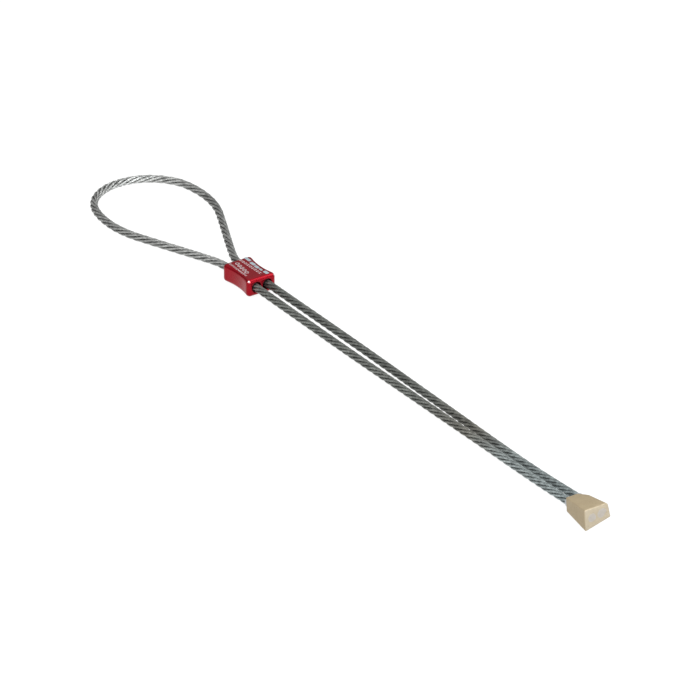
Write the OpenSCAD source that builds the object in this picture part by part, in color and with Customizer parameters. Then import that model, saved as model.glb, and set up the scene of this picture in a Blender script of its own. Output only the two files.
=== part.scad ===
// Wired climbing chock: an offset brass wedge silver-soldered on a sling of steel wire rope,
// with an anodised finger collar that slides on the sling's two legs.
// Millimetres. The chock lies flat: +X runs from the clip-in loop to the head, +Z is up.
// The origin is under the middle of the whole object, on the surface that it lies on.

/* [Wire rope] */
// Diameter of the seven-strand steel rope
rope_d = 1.75; // [1.6:0.05:1.8]
// Diameter of the straight strand in the middle of the rope
core_d = 0.57; // [0.45:0.01:0.6]

/* [Clip-in loop] */
// Angle at which each leg spreads behind the collar
loop_spread = 23.5; // [22:0.5:25]
// Radius of the outward bend just behind the collar
neck_r = 13.6; // [12:0.2:16]
// Radius of the loop's long sides
side_r = 24.4; // [22:0.2:26]
// Angle that each long side has turned inwards when the round end begins
side_close = 13; // [10:0.5:15]
// Radius of the loop's round end
end_r = 11.8; // [11.4:0.1:13]
// Sideways lean of the loop from the line of the legs
loop_lean = 1.4; // [0:0.1:1.8]

/* [Collar] */
// Length of the collar along the legs
collar_l = 10; // [8:0.5:12]
// Width of the collar at its ends
collar_w = 7; // [6.6:0.1:8]
// Thickness of the collar
collar_h = 4; // [3.6:0.1:5]
// Depth of the finger waist in each side
waist_depth = 0.5; // [0:0.1:0.6]
// Diameter of the collar's two bores
collar_bore_d = 2.35; // [2.35:0.05:2.45]
// Distance between the axes of the collar's bores
collar_bore_pitch = 2.66; // [2.64:0.01:2.7]

/* [Head] */
// Length of the brass head along the legs
head_l = 7.7; // [7:0.1:9]
// Distance from the collar's front face to the head's rear face
leg_l = 113.3; // [113:0.1:130]
// Thickness of the head's end face on its thick side
thick_side = 5; // [4.6:0.05:5.2]
// Thickness of the head's end face on its thin side
thin_side = 3.6; // [3.2:0.05:3.8]
// Width of the end face along its upper edge
upper_w = 5.75; // [5.4:0.05:5.9]
// Width of the end face along its lower edge
lower_w = 6.4; // [6:0.05:6.6]
// Width of the head's rear face as a share of the end face's
rear_width_share = 0.74; // [0.7:0.01:0.85]
// Thickness of the head's rear face as a share of the end face's
rear_thickness_share = 0.68; // [0.65:0.01:0.8]
// Roll of the head about the legs
head_roll = 8; // [0:1:10]
// Distance between the axes of the head's two rope holes
hole_pitch = 2.2; // [2.15:0.05:2.35]

/* [Hidden] */
$fn = 64;

brass = [0.74, 0.66, 0.46];
steel = [0.45, 0.48, 0.47];
dark_steel = [0.30, 0.32, 0.32];
solder = [0.80, 0.80, 0.80];
red_anodise = [0.75, 0.03, 0.10];

cut = 1;                  // how far a cutter runs past the face that it opens
left = -1;                // the side of the thick edge of the head
right = 1;

// The pair of legs, as [distance from the collar's front face, half the distance between
// the two axes, height of the pair's middle, twist of the pair]. The legs bow apart in
// front of the collar, close in towards the head, and rise and twist to its holes.
leg_half_gap = 1.5;
leg_rise = 0.55;
solder_run_out = 1.2;
LEG_ROUTE = [
    [-collar_l, leg_half_gap, 0, 0],
    [4, leg_half_gap, 0, 0],
    [20, 1.56, 0, 0],
    [39, 1.54, 0, 0],
    [54, 1.4, 0, 0],
    [70, 1.26, 0, 0],
    [84, 1.12, 0, 0],
    [95, 1.1, 0.03, 0],
    [101, 1.1, 0.14, 2],
    [107, 1.1, 0.33, 5],
    [leg_l - solder_run_out, hole_pitch / 2, leg_rise, head_roll],
];

// The rope's surface is swept as flat-sided rings.
SIDES = 10;
NECK_STEPS = 4;
SIDE_STEPS = 8;
END_STEPS = 9;
lead_l = 0.3;             // how far the rope runs straight on behind the collar
core_play = 0.02;

rope_end_depth = 0.6;     // how far the rope stops short of the end face
hole_r = rope_d / 2 + 0.04;
sink_r = rope_d / 2 + 0.2;
sink_depth = 0.5;
head_edge_r = 0.3;
head_shift = 0.15;        // how far the block's middle lies to the right of its holes'
head_corner_l = 1.9;      // the cut corner beside the right rope hole: its length
head_corner_w = 1.0;      // and how much narrower it makes the rear face
fillet_l = 0.5;           // how far the solder runs out along the rope
head_end = leg_l + head_l;

collar_edge_r = 0.8;
collar_corner_r = 0.8;
bore_edge = 0.12;
waist_l = 8;
waist_r = (pow(waist_l / 2, 2) + pow(waist_depth, 2)) / (2 * max(waist_depth, 0.01));

// The loop's outline closes on its own axis, which fixes the length of its straight sides.
side_l = (end_r * cos(side_close) - leg_half_gap - neck_r * (1 - cos(loop_spread))
          - side_r * (cos(side_close) - cos(loop_spread))) / sin(loop_spread);
side_top = lead_l + (neck_r + side_r) * sin(loop_spread) + side_l * cos(loop_spread);
end_centre = side_top + (side_r - end_r) * sin(side_close);

// Where the bounding box's bottom centre lies, measured from the collar's front face.
loop_tip = -collar_l - end_centre * cos(loop_lean) - end_r - rope_d / 2;
middle_x = (loop_tip + head_end) / 2;
middle_y = side_top * sin(loop_lean);
lowest_z = leg_rise - (lower_w / 2 - head_shift - head_edge_r) * sin(head_roll)
           - (thick_side / 2 - head_edge_r) * cos(head_roll) - head_edge_r;

module in_frame() {
    translate([-middle_x, -middle_y, -lowest_z]) children();
}

// A point of one leg's axis, from one row of LEG_ROUTE.
function leg_point(row, side) =
    [row[0], side * row[1] * cos(row[3]), row[2] + side * row[1] * sin(row[3])];

// One leg's axis, from the collar's rear face to the rope's end inside the head.
function leg_axis(side) =
    let (entry = leg_point(LEG_ROUTE[len(LEG_ROUTE) - 1], side))
    [for (row = LEG_ROUTE) leg_point(row, side),
     [head_end - rope_end_depth, entry.y, entry.z]];

// Half of the loop's axis, as [distance behind the collar, sideways], from the collar to
// the tip: a short lead, the neck, a straight side, the long side's arc and the round end.
// Each arc's angle is the rope's heading away from the line of the legs.
function half_loop() =
    let (turn = loop_spread + side_close)
    let (side_centre = end_r * cos(side_close) - side_r * cos(side_close))
    [[0, leg_half_gap],
     for (i = [0 : NECK_STEPS])
        let (heading = loop_spread * i / NECK_STEPS)
        [lead_l + neck_r * sin(heading), leg_half_gap + neck_r * (1 - cos(heading))],
     for (i = [0 : SIDE_STEPS])
        let (heading = loop_spread - turn * i / SIDE_STEPS)
        [side_top - side_r * sin(heading), side_centre + side_r * cos(heading)],
     for (i = [1 : END_STEPS])
        let (heading = -side_close - (90 - side_close) * i / END_STEPS)
        [end_centre - end_r * sin(heading), end_r * cos(heading)]];

function on_loop(point, side) =
    let (u = -point[0], v = side * point[1])
    [u * cos(loop_lean) + v * sin(loop_lean) - collar_l,
     v * cos(loop_lean) - u * sin(loop_lean),
     0];

// The loop's axis, from the left bore's rear mouth round to the right one's.
function loop_axis() =
    let (half = half_loop())
    let (last = len(half) - 1)
    [for (point = half) on_loop(point, left),
     for (i = [last - 1 : -1 : 0]) on_loop(half[i], right)];

function backwards(points) = [for (i = [len(points) - 1 : -1 : 0]) points[i]];

// The direction of a route at one of its points.
function heading_at(points, i) =
    let (before = points[max(i - 1, 0)])
    let (after = points[min(i + 1, len(points) - 1)])
    (after - before) / norm(after - before);

// A ring of points round one point of a route, square to the route.
function ring(points, i, r) =
    let (along = heading_at(points, i))
    let (across = cross([0, 0, 1], along) / norm(cross([0, 0, 1], along)))
    let (up = cross(along, across))
    [for (k = [0 : SIDES - 1])
        points[i] + r * (cos(360 * k / SIDES) * across + sin(360 * k / SIDES) * up)];

function band(from, to, k) =
    let (next = (k + 1) % SIDES)
    [from + k, from + next, to + next, to + k];

// A solid round bar along a route.
module rod_along(points, d) {
    rings = len(points);
    last = (rings - 1) * SIDES;
    polyhedron(
        points = [for (i = [0 : rings - 1]) each ring(points, i, d / 2)],
        faces = [
            [for (k = [0 : SIDES - 1]) k],
            for (i = [0 : rings - 2])
                for (k = [0 : SIDES - 1]) backwards(band(i * SIDES, (i + 1) * SIDES, k)),
            [for (k = [SIDES - 1 : -1 : 0]) last + k],
        ]
    );
}

// A tube along a route. Each ring holds its outer points and then its inner ones.
module tube_along(points, d, hole_d) {
    rings = len(points);
    step = 2 * SIDES;
    last = (rings - 1) * step;
    polyhedron(
        points = [for (i = [0 : rings - 1])
            each concat(ring(points, i, d / 2), ring(points, i, hole_d / 2))],
        faces = [
            for (k = [0 : SIDES - 1]) backwards(band(SIDES, 0, k)),
            for (i = [0 : rings - 2])
                for (k = [0 : SIDES - 1])
                    each [backwards(band(i * step, (i + 1) * step, k)),
                          band(i * step + SIDES, (i + 1) * step + SIDES, k)],
            for (k = [0 : SIDES - 1]) band(last + SIDES, last, k),
        ]
    );
}

// Places its children on the axis of one rope hole, with +Z from the head's rear face
// to its end face.
module in_hole(side) {
    translate([leg_l, 0, leg_rise])
        rotate([head_roll, 0, 0])
            translate([0, side * hole_pitch / 2, 0])
                rotate([0, 90, 0])
                    children();
}

// Corners of the head's section at a share of the way from its rear face to its end face,
// as [across, up] about the section's middle, drawn in by the edge radius, and on the
// right side by the trim too.
function head_section(share, trim) =
    let (w = rear_width_share + (1 - rear_width_share) * share)
    let (t = rear_thickness_share + (1 - rear_thickness_share) * share)
    let (up = upper_w / 2 * w - head_edge_r)
    let (low = lower_w / 2 * w - head_edge_r)
    let (thick = thick_side / 2 * t - head_edge_r)
    let (thin = thin_side / 2 * t - head_edge_r)
    [[-up, thick], [up - trim, thin], [low - trim, -thin], [-low, -thick]];

module head_corners(x, share, trim) {
    for (corner = head_section(share, trim))
        translate([x, head_shift + corner[0], corner[1]]) sphere(r = head_edge_r, $fn = 24);
}

// The offset wedge: thicker and wider towards its end face, and thicker on its left side.
module head_block() {
    translate([leg_l, 0, leg_rise])
        rotate([head_roll, 0, 0])
            hull() {
                head_corners(head_edge_r, 0, head_corner_w);
                head_corners(head_corner_l, head_corner_l / head_l, 0);
                head_corners(head_l - head_edge_r, 1, 0);
            }
}

module chock_head() {
    color(brass) in_frame() difference() {
        head_block();
        for (side = [left, right])
            in_hole(side) {
                translate([0, 0, -cut]) cylinder(r = hole_r, h = head_l + 2 * cut);
                cylinder(r1 = sink_r, r2 = hole_r, h = sink_depth);
            }
    }
}

// The rope's six outer strands, as one layer round the core strand.
module wire_leg(side) {
    color(steel) in_frame() tube_along(leg_axis(side), rope_d, core_d);
}

module clip_in_loop() {
    color(steel) in_frame() tube_along(loop_axis(), rope_d, core_d);
}

// The straight strand inside, in one length from one end of the rope to the other.
module core_strand() {
    loop = loop_axis();
    route = concat(
        backwards(leg_axis(left)),
        [for (i = [1 : len(loop) - 2]) loop[i]],
        leg_axis(right)
    );
    color(dark_steel) in_frame() rod_along(route, core_d - core_play);
}

// The solder that fills one hole: a fillet where the rope enters, a thin sleeve round it,
// and a plug over its end.
module solder_joint(side) {
    rope_r = rope_d / 2;
    rope_end = head_l - rope_end_depth;
    color(solder) in_frame() in_hole(side)
        rotate_extrude()
            polygon([
                [rope_r, -fillet_l],
                [rope_r + 0.05, -fillet_l],
                [sink_r, 0],
                [hole_r, sink_depth],
                [hole_r, head_l],
                [0, head_l],
                [0, rope_end],
                [rope_r, rope_end],
            ]);
}

// The collar's outline from above, with its waist and rounded corners.
module collar_plan() {
    difference() {
        union() {
            translate([collar_corner_r, -collar_w / 2])
                square([collar_l - 2 * collar_corner_r, collar_w]);
            translate([0, collar_corner_r - collar_w / 2])
                square([collar_l, collar_w - 2 * collar_corner_r]);
            for (x = [collar_corner_r, collar_l - collar_corner_r])
                for (side = [left, right])
                    translate([x, side * (collar_w / 2 - collar_corner_r)])
                        circle(r = collar_corner_r);
        }
        if (waist_depth > 0)
            for (side = [left, right])
                translate([collar_l / 2, side * (collar_w / 2 + waist_r - waist_depth)])
                    circle(r = waist_r, $fn = 256);
    }
}

// The collar's section across the legs, with rounded edges.
module collar_section() {
    flat_w = collar_w - 2 * collar_edge_r;
    flat_h = collar_h - 2 * collar_edge_r;
    square([collar_w, flat_h], center = true);
    square([flat_w, collar_h], center = true);
    for (side = [left, right])
        for (level = [-1, 1])
            translate([side * flat_w / 2, level * flat_h / 2]) circle(r = collar_edge_r);
}

module finger_collar() {
    color(red_anodise) in_frame() translate([-collar_l, 0, 0]) difference() {
        intersection() {
            translate([0, 0, -collar_h]) linear_extrude(2 * collar_h) collar_plan();
            rotate([90, 0, 90]) linear_extrude(collar_l) collar_section();
        }
        for (side = [left, right])
            translate([0, side * collar_bore_pitch / 2, 0])
                rotate([0, 90, 0]) {
                    bore_r = collar_bore_d / 2;
                    translate([0, 0, -cut]) cylinder(r = bore_r, h = collar_l + 2 * cut);
                    cylinder(r1 = bore_r + bore_edge, r2 = bore_r, h = bore_edge);
                    translate([0, 0, collar_l - bore_edge])
                        cylinder(r1 = bore_r, r2 = bore_r + bore_edge, h = bore_edge);
                }
    }
}

chock_head();
wire_leg(left);  // wire_leg_left
wire_leg(right);  // wire_leg_right
clip_in_loop();
core_strand();
solder_joint(left);  // solder_joint_left
solder_joint(right);  // solder_joint_right
finger_collar();
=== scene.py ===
"""Looks of the wired climbing chock: a stranded wire sling, a brass head and a red collar."""
import math

import bmesh
import bpy
import numpy as np
from mathutils import Matrix, Vector


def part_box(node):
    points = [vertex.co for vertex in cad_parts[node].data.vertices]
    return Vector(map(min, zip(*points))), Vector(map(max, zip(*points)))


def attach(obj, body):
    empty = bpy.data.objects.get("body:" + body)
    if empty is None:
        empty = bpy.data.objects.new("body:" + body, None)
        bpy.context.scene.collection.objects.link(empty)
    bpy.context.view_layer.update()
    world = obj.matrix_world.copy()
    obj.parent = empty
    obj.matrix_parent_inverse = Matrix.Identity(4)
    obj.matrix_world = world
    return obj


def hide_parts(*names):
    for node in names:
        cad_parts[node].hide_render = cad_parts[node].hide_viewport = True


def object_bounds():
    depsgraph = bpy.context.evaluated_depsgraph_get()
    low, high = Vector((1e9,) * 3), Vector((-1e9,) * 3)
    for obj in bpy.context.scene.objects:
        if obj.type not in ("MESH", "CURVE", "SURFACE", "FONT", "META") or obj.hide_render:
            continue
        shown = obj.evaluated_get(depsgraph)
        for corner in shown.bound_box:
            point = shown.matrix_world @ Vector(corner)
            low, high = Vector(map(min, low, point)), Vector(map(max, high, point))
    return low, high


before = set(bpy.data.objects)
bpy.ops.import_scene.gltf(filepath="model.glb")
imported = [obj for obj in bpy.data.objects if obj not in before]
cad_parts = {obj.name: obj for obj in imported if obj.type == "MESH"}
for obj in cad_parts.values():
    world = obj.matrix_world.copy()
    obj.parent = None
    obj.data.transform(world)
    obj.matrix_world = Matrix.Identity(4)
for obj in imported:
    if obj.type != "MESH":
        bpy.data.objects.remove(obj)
cad_low, cad_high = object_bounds()

MM = 0.001
SLING, COLLAR = "sling", "collar"
LEFT, RIGHT = -1, 1

# The collar at rest gives the sling's own origin: the middle of the collar's front face.
collar_low, collar_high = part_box("finger_collar")
ORIGIN = Vector((
    collar_high.x,
    (collar_low.y + collar_high.y) / 2,
    (collar_low.z + collar_high.z) / 2,
))
FLOOR_Z = cad_low.z


# ---------------------------------------------------------------- camera

CAMERA_AZIMUTH = math.radians(56)
CAMERA_ELEVATION = math.radians(28)
CAMERA_DISTANCE = 1.684
CAMERA_LENS = 411.4
AIM_RIGHT = 18.46 * MM
AIM_DOWN = 13.54 * MM


def add_camera():
    """The camera looks past the collar's front face, from the head's end of the sling."""
    az, el = CAMERA_AZIMUTH, CAMERA_ELEVATION
    back = Vector((math.sin(az) * math.cos(el), -math.cos(az) * math.cos(el), math.sin(el)))
    right = Vector((math.cos(az), math.sin(az), 0))
    up = back.cross(right)
    data = bpy.data.cameras.new("camera")
    data.lens = CAMERA_LENS
    data.sensor_width = 36
    data.clip_start = 0.05
    data.clip_end = 20
    camera = bpy.data.objects.new("camera", data)
    bpy.context.scene.collection.objects.link(camera)
    aim = ORIGIN + right * AIM_RIGHT - up * AIM_DOWN
    camera.location = aim + back * CAMERA_DISTANCE
    camera.rotation_mode = "QUATERNION"
    camera.rotation_quaternion = (-back).to_track_quat("-Z", "Y")
    bpy.context.scene.camera = camera


# ---------------------------------------------------------------- the rope's route

# The legs, as [distance from the collar's front face, half the distance between the two
# axes, height of the pair's middle, twist of the pair in degrees], in millimetres.
ROPE_D = 1.75
COLLAR_L = 10
LEG_HALF_GAP = 1.5
LEG_L = 113.3
LEG_RISE = 0.55
HEAD_L = 7.7
HEAD_ROLL = 8
HOLE_PITCH = 2.2
ROPE_END_DEPTH = 0.6
SOLDER_RUN_OUT = 1.2          # how far the rope runs straight before the head
LEG_ROUTE = [
    (-COLLAR_L, LEG_HALF_GAP, 0, 0),
    (4, LEG_HALF_GAP, 0, 0),
    (20, 1.56, 0, 0),
    (39, 1.54, 0, 0),
    (54, 1.4, 0, 0),
    (70, 1.26, 0, 0),
    (84, 1.12, 0, 0),
    (95, 1.1, 0.03, 0),
    (101, 1.1, 0.14, 2),
    (107, 1.1, 0.33, 5),
    (LEG_L - SOLDER_RUN_OUT, HOLE_PITCH / 2, LEG_RISE, HEAD_ROLL),
    (LEG_L + HEAD_L - ROPE_END_DEPTH, HOLE_PITCH / 2, LEG_RISE, HEAD_ROLL),
]

# The clip-in loop's outline, in millimetres and degrees.
LOOP_SPREAD = 23.5
SIDE_CLOSE = 13
LOOP_LEAN = 1.4
LEAD_L = 0.3
NECK_R = 13.6
SIDE_R = 24.4
END_R = 11.8
NECK_POINTS, SIDE_POINTS, END_POINTS = 12, 30, 30


def leg_points(side):
    points = []
    for x, half, rise, twist in LEG_ROUTE:
        turn = math.radians(twist)
        points.append((x, side * half * math.cos(turn), rise + side * half * math.sin(turn)))
    return points


def half_loop():
    """Half of the loop's axis, as (distance behind the collar, sideways)."""
    spread, close = math.radians(LOOP_SPREAD), math.radians(SIDE_CLOSE)
    side_centre = (END_R - SIDE_R) * math.cos(close)
    neck_top = LEG_HALF_GAP + NECK_R * (1 - math.cos(spread))
    straight = (side_centre + SIDE_R * math.cos(spread) - neck_top) / math.sin(spread)
    side_top = LEAD_L + (NECK_R + SIDE_R) * math.sin(spread) + straight * math.cos(spread)
    end_centre = side_top + (SIDE_R - END_R) * math.sin(close)
    points = [(0, LEG_HALF_GAP)]
    for heading in np.linspace(0, spread, NECK_POINTS):
        points.append((
            LEAD_L + NECK_R * math.sin(heading),
            LEG_HALF_GAP + NECK_R * (1 - math.cos(heading)),
        ))
    for heading in np.linspace(spread, -close, SIDE_POINTS):
        points.append((
            side_top - SIDE_R * math.sin(heading),
            side_centre + SIDE_R * math.cos(heading),
        ))
    for heading in np.linspace(-close, -math.pi / 2, END_POINTS)[1:]:
        points.append((
            end_centre - END_R * math.sin(heading),
            END_R * math.cos(heading),
        ))
    return points


def loop_points():
    """The loop's axis from the left bore's rear mouth round to the right one's."""
    half = half_loop()
    lean = math.radians(LOOP_LEAN)
    both = [(u, -v) for u, v in half] + half[-2::-1]
    return [
        (
            -u * math.cos(lean) + v * math.sin(lean) - COLLAR_L,
            v * math.cos(lean) + u * math.sin(lean),
            0,
        )
        for u, v in both
    ]


def sling_axis(step):
    """The rope's whole axis in the row frame, in metres, as points a step apart."""
    rough = leg_points(LEFT)[::-1] + loop_points()[1:-1] + leg_points(RIGHT)
    rough = np.array(rough) * MM + np.array(ORIGIN)
    along = np.concatenate([[0], np.cumsum(np.linalg.norm(np.diff(rough, axis=0), axis=1))])
    slope = np.gradient(rough, along, axis=0)
    wanted = np.linspace(0, along[-1], int(round(along[-1] / step)) + 1)
    cell = np.clip(np.searchsorted(along, wanted, side="right") - 1, 0, len(along) - 2)
    width = (along[cell + 1] - along[cell])[:, None]
    t = (wanted - along[cell])[:, None] / width
    return (
        (1 + 2 * t) * (1 - t) ** 2 * rough[cell]
        + t * (1 - t) ** 2 * width * slope[cell]
        + t ** 2 * (3 - 2 * t) * rough[cell + 1]
        + t ** 2 * (t - 1) * width * slope[cell + 1]
    )


# ---------------------------------------------------------------- materials

def new_material(name):
    """A material with only its Principled shader and its output."""
    material = bpy.data.materials.new(name)
    material.use_nodes = True
    tree = material.node_tree
    shader = tree.nodes["Principled BSDF"]
    return material, tree, shader


def add_node(tree, kind, **inputs):
    node = tree.nodes.new(kind)
    for key, value in inputs.items():
        node.inputs[key].default_value = value
    return node


def noise(tree, scale, detail=4.0, roughness=0.55, stretch=(1, 1, 1)):
    """Noise over the piece's own coordinates, with scale in features per metre."""
    place = tree.nodes.new("ShaderNodeTexCoord")
    mapping = add_node(tree, "ShaderNodeMapping", Scale=stretch)
    tree.links.new(place.outputs["Object"], mapping.inputs["Vector"])
    texture = add_node(
        tree, "ShaderNodeTexNoise", Scale=scale, Detail=detail, Roughness=roughness)
    tree.links.new(mapping.outputs["Vector"], texture.inputs["Vector"])
    return texture.outputs["Fac"]


def ramp(tree, factor, stops):
    """A colour ramp over a factor; stops are (position, colour)."""
    node = tree.nodes.new("ShaderNodeValToRGB")
    elements = node.color_ramp.elements
    while len(elements) < len(stops):
        elements.new(0.5)
    for element, (position, colour) in zip(elements, stops):
        element.position = position
        element.color = (*colour, 1)
    tree.links.new(factor, node.inputs["Fac"])
    return node.outputs["Color"]


def grey(value):
    return (value, value, value)


def bump(tree, shader, height, strength, distance):
    node = add_node(tree, "ShaderNodeBump", Strength=strength, Distance=distance)
    tree.links.new(height, node.inputs["Height"])
    tree.links.new(node.outputs["Normal"], shader.inputs["Normal"])


def mix_colour(tree, factor, first, second, blend="MIX"):
    node = tree.nodes.new("ShaderNodeMix")
    node.data_type = "RGBA"
    node.blend_type = blend
    for key, value in (("Factor", factor), ("A", first), ("B", second)):
        socket = [s for s in node.inputs if s.name == key and s.enabled][0]
        if isinstance(value, bpy.types.NodeSocket):
            tree.links.new(value, socket)
        else:
            socket.default_value = value
    return [s for s in node.outputs if s.enabled][0]


def along_sling(tree, stops):
    """A colour by how far along the sling a point lies, from (x in mm, colour) stops."""
    place = tree.nodes.new("ShaderNodeTexCoord")
    split = tree.nodes.new("ShaderNodeSeparateXYZ")
    tree.links.new(place.outputs["Object"], split.inputs["Vector"])
    start, end = stops[0][0], stops[-1][0]
    span = add_node(tree, "ShaderNodeMapRange")
    span.inputs["From Min"].default_value = ORIGIN.x + start * MM
    span.inputs["From Max"].default_value = ORIGIN.x + end * MM
    tree.links.new(split.outputs["X"], span.inputs["Value"])
    return ramp(
        tree, span.outputs["Result"],
        [((x - start) / (end - start), colour) for x, colour in stops])


def steel_material():
    """Drawn wire, with light painted along the sling: lighter at the loop, darker by the
    middle, lighter and bluer at the head.
    """
    material, tree, shader = new_material("galvanised_wire")
    # painted light and shade along the sling: lighter at the loop, darker along the legs,
    # lighter and bluer towards the head
    painted_light_tint = along_sling(tree, [
        (-60, (0.40, 0.405, 0.395)),
        (-52, (0.37, 0.375, 0.365)),
        (-36, (0.325, 0.33, 0.32)),
        (-12, (0.355, 0.36, 0.35)),
        (-4, (0.215, 0.225, 0.21)),
        (60, (0.215, 0.225, 0.21)),
        (78, (0.23, 0.225, 0.20)),
        (90, (0.32, 0.355, 0.35)),
        (120, (0.34, 0.395, 0.40)),
    ])
    patches = ramp(tree, noise(tree, 900, detail=3), [(0.35, grey(0.6)), (0.7, grey(1.2))])
    colour = mix_colour(tree, 1.0, painted_light_tint, patches, "MULTIPLY")
    # painted shade in the grooves between strands and wires: dark deep in the rope, lighter
    # on the outermost crests
    depth = add_node(tree, "ShaderNodeAttribute")
    depth.attribute_name = EXPOSURE
    painted_groove_shade = ramp(tree, depth.outputs["Fac"], [
        (0.60, grey(0.08)),
        (0.76, grey(0.55)),
        (0.88, grey(0.95)),
        (0.98, grey(1.25)),
    ])
    colour = mix_colour(tree, 1.0, colour, painted_groove_shade, "MULTIPLY")
    tree.links.new(colour, shader.inputs["Base Color"])
    gloss = ramp(tree, noise(tree, 4000), [(0.3, grey(0.33)), (0.7, grey(0.48))])
    tree.links.new(gloss, shader.inputs["Roughness"])
    shader.inputs["Metallic"].default_value = 0.85
    bump(tree, shader, noise(tree, 12000, detail=2), 0.25, 0.00002)
    return material


def brass_material():
    """Tumbled brass, tinted cooler and less yellow on the end face."""
    material, tree, shader = new_material("tumbled_brass")
    tone = ramp(tree, noise(tree, 420), [
        (0.30, (0.310, 0.247, 0.153)),
        (0.60, (0.330, 0.264, 0.165)),
        (0.80, (0.352, 0.284, 0.185)),
    ])
    specks = ramp(tree, noise(tree, 2600, detail=2), [(0.27, grey(0.62)), (0.33, grey(1))])
    end_face_tint = along_sling(tree, [
        (LEG_L, (1, 1, 1)),
        (LEG_L + HEAD_L - 0.25, (1, 1, 1)),
        (LEG_L + HEAD_L, (0.94, 0.99, 1.13)),
    ])
    colour = mix_colour(tree, 1.0, tone, specks, "MULTIPLY")
    colour = mix_colour(tree, 1.0, colour, end_face_tint, "MULTIPLY")
    tree.links.new(colour, shader.inputs["Base Color"])
    gloss = ramp(tree, noise(tree, 1500), [(0.3, grey(0.55)), (0.7, grey(0.7))])
    tree.links.new(gloss, shader.inputs["Roughness"])
    shader.inputs["Metallic"].default_value = 0.35
    bump(tree, shader, noise(tree, 3500, detail=5), 0.3, 0.00005)
    return material


def solder_material(name, dark, light):
    material, tree, shader = new_material(name)
    colour = ramp(tree, noise(tree, 1200), [(0.35, dark), (0.65, light)])
    tree.links.new(colour, shader.inputs["Base Color"])
    gloss = ramp(tree, noise(tree, 2500), [(0.3, grey(0.35)), (0.7, grey(0.55))])
    tree.links.new(gloss, shader.inputs["Roughness"])
    shader.inputs["Metallic"].default_value = 0.5
    bump(tree, shader, noise(tree, 3000, detail=4), 0.4, 0.00005)
    return material


def anodised_material():
    """Glossy red anodising, with a highlight painted in pale metal colour at the two front
    corners on top.
    """
    material, tree, shader = new_material("red_anodised_aluminium")
    dye = ramp(tree, noise(tree, 500), [
        (0.3, (0.245, 0.0012, 0.007)),
        (0.7, (0.285, 0.0022, 0.011)),
    ])
    highlight_attribute = add_node(tree, "ShaderNodeAttribute")
    highlight_attribute.attribute_name = PAINTED_HIGHLIGHT
    ragged_highlight = add_node(tree, "ShaderNodeMath")
    ragged_highlight.operation = "MULTIPLY_ADD"
    tree.links.new(noise(tree, 5000), ragged_highlight.inputs[0])
    ragged_highlight.inputs[1].default_value = 0.5
    tree.links.new(highlight_attribute.outputs["Fac"], ragged_highlight.inputs[2])
    highlight_mask = ramp(tree, ragged_highlight.outputs["Value"], [(0.68, grey(0)), (1.0, grey(1))])
    # painted highlights: pale metal colour at the two front corners on top
    colour = mix_colour(tree, highlight_mask, dye, (0.62, 0.46, 0.48, 1))
    tree.links.new(colour, shader.inputs["Base Color"])
    gloss = ramp(tree, noise(tree, 2200), [(0.3, grey(0.24)), (0.7, grey(0.34))])
    tree.links.new(gloss, shader.inputs["Roughness"])
    shader.inputs["Metallic"].default_value = 0.7
    shader.inputs["Specular IOR Level"].default_value = 0.2
    shader.inputs["Coat Weight"].default_value = 0.08
    shader.inputs["Coat Roughness"].default_value = 0.1
    bump(tree, shader, noise(tree, 6000, detail=3), 0.08, 0.00002)
    return material


def mark_material(name, dark, light):
    material, tree, shader = new_material(name)
    colour = ramp(tree, noise(tree, 3000), [(0.35, dark), (0.65, light)])
    tree.links.new(colour, shader.inputs["Base Color"])
    shader.inputs["Metallic"].default_value = 0.3
    shader.inputs["Roughness"].default_value = 0.5
    return material


def floor_material():
    material, tree, shader = new_material("white_floor")
    colour = ramp(tree, noise(tree, 30), [(0.3, grey(0.10)), (0.7, grey(0.12))])
    tree.links.new(colour, shader.inputs["Base Color"])
    shader.inputs["Roughness"].default_value = 1.0
    shader.inputs["Specular IOR Level"].default_value = 0
    shader.inputs["Emission Color"].default_value = (1, 1, 1, 1)
    shader.inputs["Emission Strength"].default_value = 0.93
    return material


# ---------------------------------------------------------------- mesh helpers

def add_object(name, mesh, material):
    piece = bpy.data.objects.new(name, mesh)
    bpy.context.scene.collection.objects.link(piece)
    mesh.materials.clear()
    mesh.materials.append(material)
    return piece


def from_bmesh(name, bm):
    mesh = bpy.data.meshes.new(name)
    bmesh.ops.recalc_face_normals(bm, faces=bm.faces)
    bm.to_mesh(mesh)
    bm.free()
    return mesh


def smooth(mesh, angle=180):
    mesh.shade_smooth()
    if angle < 180:
        mesh.set_sharp_from_angle(angle=math.radians(angle))


def with_modifiers(piece, *modifiers):
    """Adds modifiers, each as (type, {setting: value}), and makes their result the mesh."""
    for kind, settings in modifiers:
        modifier = piece.modifiers.new(kind.lower(), kind)
        for key, value in settings.items():
            setattr(modifier, key, value)
    graph = bpy.context.evaluated_depsgraph_get()
    old = piece.data
    piece.data = bpy.data.meshes.new_from_object(piece.evaluated_get(graph))
    piece.data.name = old.name
    piece.modifiers.clear()
    bpy.data.meshes.remove(old)
    return piece


def ring_mesh(name, rings):
    """A closed skin over rings of points, each ring an array (points, 3)."""
    rings = np.asarray(rings)
    count, sides = rings.shape[:2]
    start = np.arange(count - 1)[:, None] * sides
    here = np.arange(sides)[None, :]
    there = (here + 1) % sides
    quads = np.stack(
        [start + here, start + there, start + sides + there, start + sides + here], axis=-1)
    faces = quads.reshape(-1, 4).tolist()
    faces.append(list(range(sides))[::-1])
    faces.append([(count - 1) * sides + k for k in range(sides)])
    mesh = bpy.data.meshes.new(name)
    mesh.from_pydata(rings.reshape(-1, 3).tolist(), [], faces)
    mesh.update()
    return mesh


def unit(vectors):
    return vectors / np.linalg.norm(vectors, axis=-1, keepdims=True)


# ---------------------------------------------------------------- wire rope

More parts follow.
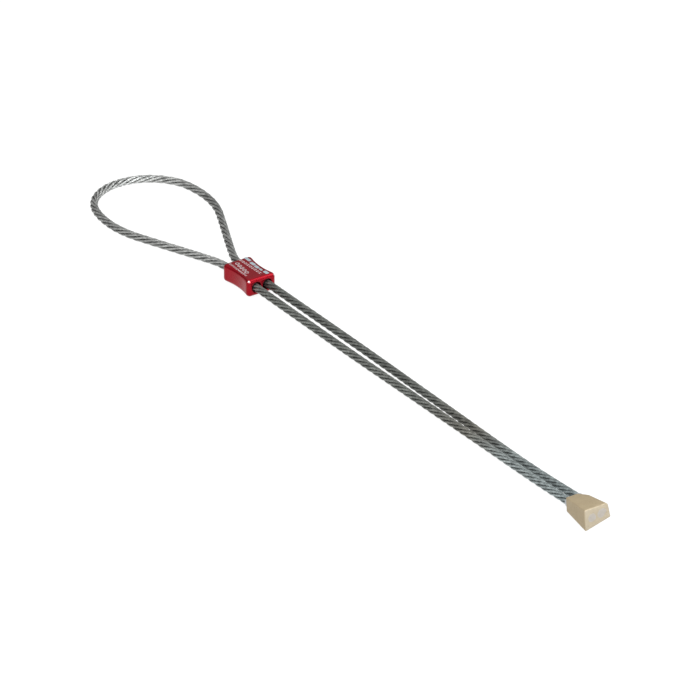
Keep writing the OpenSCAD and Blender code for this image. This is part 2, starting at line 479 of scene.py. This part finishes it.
ROPE_LAY = 13.3 * MM          # one turn of a strand round the rope, left-handed
WIRE_LAY = 4.6 * MM           # one turn of a wire round its strand, right-handed
RING_STEP = 0.3 * MM
STRAND_R = ROPE_D / 6 * MM
WIRE_R = STRAND_R / 3
OUTER_STRANDS = 6
OUTER_WIRES = 6
WIRE_ARC = np.radians([-100, -50, 0, 50, 100])   # the side of each wire that shows
ROPE_PHASE = math.radians(10)
EXPOSURE = "exposure"         # how far out of the rope a point lies, 1 at its outside


def strand_mesh(name, offset, phase):
    """One strand along the whole sling, as seven wires laid together: a six-lobed skin."""
    axis = sling_axis(RING_STEP)
    travel = np.concatenate([[0], np.cumsum(np.linalg.norm(np.diff(axis, axis=0), axis=1))])
    along = unit(np.gradient(axis, axis=0))
    across = unit(np.cross([0, 0, 1], along))
    up = np.cross(along, across)
    turn = (phase - 2 * math.pi * travel / ROPE_LAY)[:, None]
    outward = np.cos(turn) * across + np.sin(turn) * up
    centre = axis + offset * outward
    heading = unit(np.gradient(centre, axis=0))
    outward = unit(outward - np.sum(outward * heading, axis=1, keepdims=True) * heading)
    sideways = np.cross(heading, outward)
    wire = np.arange(OUTER_WIRES)[None, :, None] * 2 * math.pi / OUTER_WIRES
    wire = wire + (2 * math.pi * travel / WIRE_LAY)[:, None, None]
    arc = wire + WIRE_ARC[None, None, :]
    out = (2 * WIRE_R * np.cos(wire) + WIRE_R * np.cos(arc)).reshape(len(axis), -1, 1)
    side = (2 * WIRE_R * np.sin(wire) + WIRE_R * np.sin(arc)).reshape(len(axis), -1, 1)
    rings = centre[:, None] + out * outward[:, None] + side * sideways[:, None]
    mesh = ring_mesh(name, rings)
    depth = np.linalg.norm(rings - axis[:, None], axis=2) / (ROPE_D / 2 * MM)
    layer = mesh.attributes.new(EXPOSURE, "FLOAT", "POINT")
    layer.data.foreach_set("value", depth.ravel())
    return mesh


def add_rope():
    steel = steel_material()
    nodes = ["wire_leg_left", "wire_leg_right", "clip_in_loop"]
    for k in range(OUTER_STRANDS):
        name = f"outer_strand_{k + 1}"
        phase = ROPE_PHASE + 2 * math.pi * k / OUTER_STRANDS
        mesh = strand_mesh(name, 2 * STRAND_R, phase)
        smooth(mesh)
        strand = add_object(name, mesh, steel)
        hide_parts(*nodes)
        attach(strand, SLING)
    mesh = strand_mesh("middle_strand", 0, 0)
    smooth(mesh)
    middle = add_object("middle_strand", mesh, steel)
    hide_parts("core_strand")
    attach(middle, SLING)


# ---------------------------------------------------------------- brass head and solder

UPPER_W, LOWER_W = 5.75, 6.4
THICK_SIDE, THIN_SIDE = 5.0, 3.6
REAR_WIDTH_SHARE, REAR_THICKNESS_SHARE = 0.74, 0.68
HEAD_SHIFT = 0.15
THIN_EDGE_R = 0.7             # the roundest edge, on top of the thin side
OTHER_EDGES_SHARE = 0.45      # how round the other edges are, as a share of it
HEAD_CORNER_L, HEAD_CORNER_W = 1.9, 1.0
HOLE_R = ROPE_D / 2 + 0.04
SINK_R = ROPE_D / 2 + 0.2
SINK_DEPTH = 0.5
CUT = 1                       # how far a cutter runs past the face that it opens
TURNED_SIDES = 64
FILM_R = 0.72                 # the film over each rope end, and its (sideways, up) spread
FILM_SPREAD = {LEFT: (-0.12, 0.2), RIGHT: (0.3, 0.25)}
FILM_SIDES = 72
# The film's section: (height over the end face, share of its reach).
FILM_PROFILE = [(-0.05, 1), (0.0, 1), (0.012, 0.93), (0.02, 0.6), (0.02, 0.02)]


def head_place():
    """From the head's own millimetres, with +X from its rear face, to the row frame."""
    return (
        Matrix.Translation(ORIGIN + Vector((LEG_L, 0, LEG_RISE)) * MM)
        @ Matrix.Rotation(math.radians(HEAD_ROLL), 4, "X")
        @ Matrix.Scale(MM, 4)
    )


def head_ring(x, trim):
    share = x / HEAD_L
    w = REAR_WIDTH_SHARE + (1 - REAR_WIDTH_SHARE) * share
    t = REAR_THICKNESS_SHARE + (1 - REAR_THICKNESS_SHARE) * share
    up, low = UPPER_W / 2 * w, LOWER_W / 2 * w
    thick, thin = THICK_SIDE / 2 * t, THIN_SIDE / 2 * t
    corners = [(-up, thick), (up - trim, thin), (low - trim, -thin), (-low, -thick)]
    return [(x, HEAD_SHIFT + y, z) for y, z in corners]


def lathe_mesh(name, profile, place):
    """A solid turned about +X from (x, radius) points, with a flat disc at each end."""
    angles = np.linspace(0, 2 * math.pi, TURNED_SIDES, endpoint=False)
    rings = [
        [place @ Vector((x, r * math.cos(a), r * math.sin(a))) for a in angles]
        for x, r in profile
    ]
    return ring_mesh(name, rings)


def add_cutters(name, profiles_and_places):
    """Hidden solids to cut with, as one object."""
    bm = bmesh.new()
    for profile, place in profiles_and_places:
        mesh = lathe_mesh(name, profile, place)
        bm.from_mesh(mesh)
        bpy.data.meshes.remove(mesh)
    cutter = bpy.data.objects.new(name, from_bmesh(name, bm))
    bpy.context.scene.collection.objects.link(cutter)
    return cutter


def hole_place(side):
    return head_place() @ Matrix.Translation((0, side * HOLE_PITCH / 2, 0))


def add_head():
    bm = bmesh.new()
    rings = [
        head_ring(0, HEAD_CORNER_W),
        head_ring(HEAD_CORNER_L, 0),
        head_ring(HEAD_L, 0),
    ]
    softness = bm.edges.layers.float.new("bevel_weight_edge")
    verts = [[bm.verts.new(point) for point in ring] for ring in rings]
    for back, front in zip(verts, verts[1:]):
        for k in range(4):
            bm.faces.new([back[k], back[(k + 1) % 4], front[(k + 1) % 4], front[k]])
    bm.faces.new(verts[0])
    bm.faces.new(verts[-1])
    thin_edge = {ring[1] for ring in verts}
    for edge in bm.edges:
        edge[softness] = 1.0 if thin_edge.issuperset(edge.verts) else OTHER_EDGES_SHARE
    bmesh.ops.transform(bm, matrix=head_place(), verts=bm.verts)
    head = add_object("brass_head", from_bmesh("brass_head", bm), brass_material())
    cutter = add_cutters("hole_cutter", [
        (
            [(-CUT, SINK_R), (0, SINK_R), (SINK_DEPTH, HOLE_R), (HEAD_L + CUT, HOLE_R)],
            hole_place(side),
        )
        for side in (LEFT, RIGHT)
    ])
    with_modifiers(
        head,
        ("BEVEL", {"width": THIN_EDGE_R * MM, "segments": 6, "limit_method": "WEIGHT"}),
        ("BOOLEAN", {"object": cutter, "operation": "DIFFERENCE", "solver": "EXACT"}),
        ("WEIGHTED_NORMAL", {"keep_sharp": True}),
    )
    bpy.data.objects.remove(cutter)
    smooth(head.data, 40)
    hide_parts("chock_head")
    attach(head, SLING)


def film_mesh(name, side):
    """The thin uneven film of solder over one rope end, spread up and outwards."""
    outwards, upwards = FILM_SPREAD[side]
    angles = np.linspace(0, 2 * math.pi, FILM_SIDES, endpoint=False)
    wobble = 1 + 0.07 * np.sin(3 * angles + side) + 0.05 * np.sin(5 * angles + 2 * side)
    rings = []
    for x, share in FILM_PROFILE:
        reach = FILM_R * wobble * share
        rings.append([
            hole_place(side) @ Vector((
                HEAD_L + x,
                outwards + (1 + abs(outwards)) * r * math.cos(a),
                upwards + (1 + abs(upwards)) * r * math.sin(a),
            ))
            for a, r in zip(angles, reach)
        ])
    return ring_mesh(name, rings)


def add_solder():
    solder = solder_material("silver_solder", (0.34, 0.355, 0.365), (0.44, 0.45, 0.46))
    film = solder_material("solder_film", (0.30, 0.268, 0.226), (0.325, 0.298, 0.268))
    rope_r = ROPE_D / 2
    fillet = [
        (-0.55, rope_r - 0.25),
        (-0.5, rope_r + 0.05),
        (-0.3, rope_r + 0.11),
        (-0.1, rope_r + 0.18),
        (0.0, SINK_R),
        (SINK_DEPTH, HOLE_R),
        (SINK_DEPTH, rope_r - 0.25),
    ]
    plug = [
        (HEAD_L - ROPE_END_DEPTH, 0.02),
        (HEAD_L - ROPE_END_DEPTH, HOLE_R),
        (HEAD_L, HOLE_R),
        (HEAD_L, 0.02),
    ]
    for side, word in ((LEFT, "left"), (RIGHT, "right")):
        place = hole_place(side)
        meshes = (
            (lathe_mesh(f"solder_fillet_{word}", fillet, place), solder),
            (lathe_mesh(f"solder_plug_{word}", plug, place), film),
            (film_mesh(f"solder_film_{word}", side), film),
        )
        for mesh, material in meshes:
            smooth(mesh, 50)
            piece = add_object(mesh.name, mesh, material)
            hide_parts(f"solder_joint_{word}")
            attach(piece, SLING)


# ---------------------------------------------------------------- collar

COLLAR_W, COLLAR_H = 7, 4
WAIST_DEPTH, WAIST_L = 0.5, 8
COLLAR_BORE_R = 1.175
COLLAR_BORE_PITCH = 2.66
COLLAR_BORE_EDGE = 0.12       # the chamfer at each mouth of a bore
COLLAR_EDGE_R = 0.8
COLLAR_CORNER_SEGMENTS = 10
COLLAR_WAIST_STATIONS = 31
PAINTED_HIGHLIGHT = "painted_highlight"                 # how near a point is to a painted highlight: 1 at the two front corners on top
PAINTED_HIGHLIGHT_R = 0.34


def waist(x):
    """How far each side is drawn in at a place along the collar, in millimetres."""
    radius = ((WAIST_L / 2) ** 2 + WAIST_DEPTH ** 2) / (2 * WAIST_DEPTH)
    reach = abs(x - COLLAR_L / 2)
    if reach >= WAIST_L / 2:
        return 0
    return WAIST_DEPTH - (radius - math.sqrt(radius ** 2 - reach ** 2))


def collar_stations():
    """Places along the collar's rings, close together round its end edges."""
    r = COLLAR_EDGE_R
    turns = np.linspace(0, math.pi / 2, COLLAR_CORNER_SEGMENTS + 1)
    near = r * (1 - np.cos(turns))
    middle = np.linspace(r, COLLAR_L - r, COLLAR_WAIST_STATIONS)[1:-1]
    return np.concatenate([near, middle, COLLAR_L - near[::-1]])


def collar_ring(x):
    """A rounded rectangle round the collar at x, in the row frame, drawn in at the ends."""
    r = COLLAR_EDGE_R
    reach = max(0.0, r - min(x, COLLAR_L - x))
    inset = r - math.sqrt(max(0.0, r * r - reach * reach))
    corner = max(r - inset, 0.01)
    w = COLLAR_W / 2 - waist(x) - inset
    h = COLLAR_H / 2 - inset
    points = []
    for quarter, (y, z) in enumerate(((1, 1), (-1, 1), (-1, -1), (1, -1))):
        for turn in np.linspace(0, math.pi / 2, COLLAR_CORNER_SEGMENTS + 1):
            angle = turn + quarter * math.pi / 2
            points.append((
                x,
                y * (w - corner) + corner * math.cos(angle),
                z * (h - corner) + corner * math.sin(angle),
            ))
    place = collar_place()
    return [place @ Vector(point) for point in points]


def collar_place():
    """From the collar's own millimetres, with +X from its rear face, to the row frame."""
    return Matrix.Translation(ORIGIN - Vector((COLLAR_L * MM, 0, 0))) @ Matrix.Scale(MM, 4)


def add_painted_highlight(mesh):
    """Notes on the collar's mesh how near each point is to a front corner on top, where a
    highlight is painted.
    """
    depth = COLLAR_EDGE_R * (1 - 1 / math.sqrt(3))
    to_collar = collar_place().inverted()
    layer = mesh.attributes.new(PAINTED_HIGHLIGHT, "FLOAT", "POINT")
    for vertex, value in zip(mesh.vertices, layer.data):
        point = to_collar @ vertex.co
        corner = Vector((
            COLLAR_L - depth,
            math.copysign(COLLAR_W / 2 - depth, point.y),
            COLLAR_H / 2 - depth,
        ))
        value.value = math.exp(-((point - corner).length / PAINTED_HIGHLIGHT_R) ** 2)


def add_collar():
    mesh = ring_mesh("collar_body", [collar_ring(x) for x in collar_stations()])
    collar = add_object("collar_body", mesh, anodised_material())
    r, edge = COLLAR_BORE_R, COLLAR_BORE_EDGE
    bore = [
        (-CUT, r + edge), (0, r + edge), (edge, r),
        (COLLAR_L - edge, r), (COLLAR_L, r + edge), (COLLAR_L + CUT, r + edge),
    ]
    cutter = add_cutters("bore_cutter", [
        (bore, collar_place() @ Matrix.Translation((0, side * COLLAR_BORE_PITCH / 2, 0)))
        for side in (LEFT, RIGHT)
    ])
    with_modifiers(
        collar,
        ("BOOLEAN", {"object": cutter, "operation": "DIFFERENCE", "solver": "EXACT"}),
        ("WEIGHTED_NORMAL", {"keep_sharp": True}),
    )
    bpy.data.objects.remove(cutter)
    smooth(collar.data, 40)
    add_painted_highlight(collar.data)
    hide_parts("finger_collar")
    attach(collar, COLLAR)


# ---------------------------------------------------------------- marks on the collar

# Blue pads along the right edge, as (x from the collar's front face, y, length, width).
PADS = [
    (-8.6, 2.0, 2.0, 0.75),
    (-6.3, 1.75, 1.6, 0.8),
    (-4.6, 1.65, 1.4, 0.75),
    (-3.15, 1.7, 1.1, 0.55),
    (-1.45, 1.9, 1.4, 0.85),
]
PAD_CORNER_R = 0.2
MARK_T = 0.015                # how far the marks reach above and below the top face

# Plain shapes drawn as strokes: (x, y, length, angle) in shares of the row's size.
DASHES = [(0, 0.3, 0.95, 0), (0, -0.3, 0.95, 0)]
TICK = [(0, 0, 1.0, 90)]
LOZENGE = [
    (0.25, 0.25, 0.8, -45), (-0.25, 0.25, 0.8, 45),
    (-0.25, -0.25, 0.8, -45), (0.25, -0.25, 0.8, 45),
]

# Rows of one shape each: first and last (x, y), size, stroke width, shape and count.
MARK_ROWS = [
    ((-9.0, 0.55), (-2.0, 0.7), 0.66, 0.2, DASHES, 9),
    ((-8.1, -0.95), (-3.7, -1.5), 0.95, 0.22, LOZENGE, 5),
    ((-9.0, -2.25), (-2.5, -2.42), 0.44, 0.15, TICK, 19),
]


def add_marks(name, outlines, material):
    """Flat marks, a hair's breadth proud of the collar's top, from lists of (x, y)."""
    bm = bmesh.new()
    top = COLLAR_H / 2
    for outline in outlines:
        low = [bm.verts.new((COLLAR_L + x, y, top - MARK_T)) for x, y in outline]
        high = [bm.verts.new((COLLAR_L + x, y, top + MARK_T)) for x, y in outline]
        bm.faces.new(low[::-1])
        bm.faces.new(high)
        for k in range(len(outline)):
            after = (k + 1) % len(outline)
            bm.faces.new([low[k], low[after], high[after], high[k]])
    bmesh.ops.transform(bm, matrix=collar_place(), verts=bm.verts)
    piece = add_object(name, from_bmesh(name, bm), material)
    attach(piece, COLLAR)


def pad_outline(x, y, length, width):
    """A pad with round corners."""
    r = PAD_CORNER_R
    points = []
    for quarter, (across, up) in enumerate(((1, 1), (-1, 1), (-1, -1), (1, -1))):
        for turn in np.linspace(0, 90, 4):
            angle = math.radians(turn + 90 * quarter)
            points.append((
                x + across * (length / 2 - r) + r * math.cos(angle),
                y + up * (width / 2 - r) + r * math.sin(angle),
            ))
    return points


def stroke_outline(x, y, length, width, angle):
    turn = math.radians(angle)
    along = Vector((math.cos(turn), math.sin(turn))) * length / 2
    across = Vector((-math.sin(turn), math.cos(turn))) * width / 2
    middle = Vector((x, y))
    return [
        tuple(middle + a * along + b * across)
        for a, b in ((1, 1), (-1, 1), (-1, -1), (1, -1))
    ]


def row_outlines(first, last, size, width, shape, count):
    outlines = []
    for k in range(count):
        x, y = Vector(first).lerp(Vector(last), k / (count - 1))
        for u, v, length, angle in shape:
            outlines.append(
                stroke_outline(x + u * size, y + v * size, length * size, width, angle))
    return outlines


def add_collar_marks():
    blue = mark_material("blue_ink", (0.27, 0.33, 0.36), (0.36, 0.42, 0.45))
    pale = mark_material("pale_ink", (0.36, 0.24, 0.25), (0.62, 0.54, 0.54))
    add_marks("collar_pads", [pad_outline(*pad) for pad in PADS], blue)
    strokes = [outline for row in MARK_ROWS for outline in row_outlines(*row)]
    add_marks("collar_strokes", strokes, pale)


# ---------------------------------------------------------------- stage

def add_light(name, direction, distance, size, watts, colour=(1, 1, 1)):
    data = bpy.data.lights.new(name, "AREA")
    data.shape = "DISK"
    data.size = size
    data.energy = watts
    data.color = colour
    light = bpy.data.objects.new(name, data)
    bpy.context.scene.collection.objects.link(light)
    way = Vector(direction).normalized()
    light.location = ORIGIN + way * distance
    light.rotation_mode = "QUATERNION"
    light.rotation_quaternion = (-way).to_track_quat("-Z", "Y")


FLOOR_HALF = 3.0

# The studio's light by the sine of the height it comes from: dark walls, a pale ceiling.
SKY = [(0.0, grey(0.05)), (0.2, grey(0.12)), (0.42, grey(0.45)), (0.7, grey(0.8))]


def add_stage():
    half = FLOOR_HALF
    corners = [(-half, -half), (half, -half), (half, half), (-half, half)]
    mesh = bpy.data.meshes.new("floor")
    mesh.from_pydata([(x, y, FLOOR_Z) for x, y in corners], [], [(0, 1, 2, 3)])
    add_object("floor", mesh, floor_material())
    world = bpy.data.worlds.new("studio")
    world.use_nodes = True
    tree = world.node_tree
    place = tree.nodes.new("ShaderNodeTexCoord")
    split = tree.nodes.new("ShaderNodeSeparateXYZ")
    tree.links.new(place.outputs["Generated"], split.inputs["Vector"])
    sky = ramp(tree, split.outputs["Z"], SKY)
    tree.links.new(sky, tree.nodes["Background"].inputs["Color"])
    bpy.context.scene.world = world
    bpy.context.scene.view_settings.view_transform = "Standard"
    add_light("back_softbox", (0.27, 0.63, 0.72), 0.9, 0.66, 2.7)
    add_light("back_spot", (0.04, 0.73, 0.68), 0.9, 0.2, 0.7)
    add_light("left_softbox", (0.25, -0.6, 0.76), 0.9, 0.34, 3.6)
    add_light("left_fill", (-0.1, -0.97, 0.22), 0.9, 0.5, 1.6)
    add_light("key", (0.96, 0.0, 0.28), 0.75, 0.55, 7.4, (0.95, 0.98, 1.0))


add_camera()
add_rope()
add_head()
add_solder()
add_collar()
add_collar_marks()
add_stage()
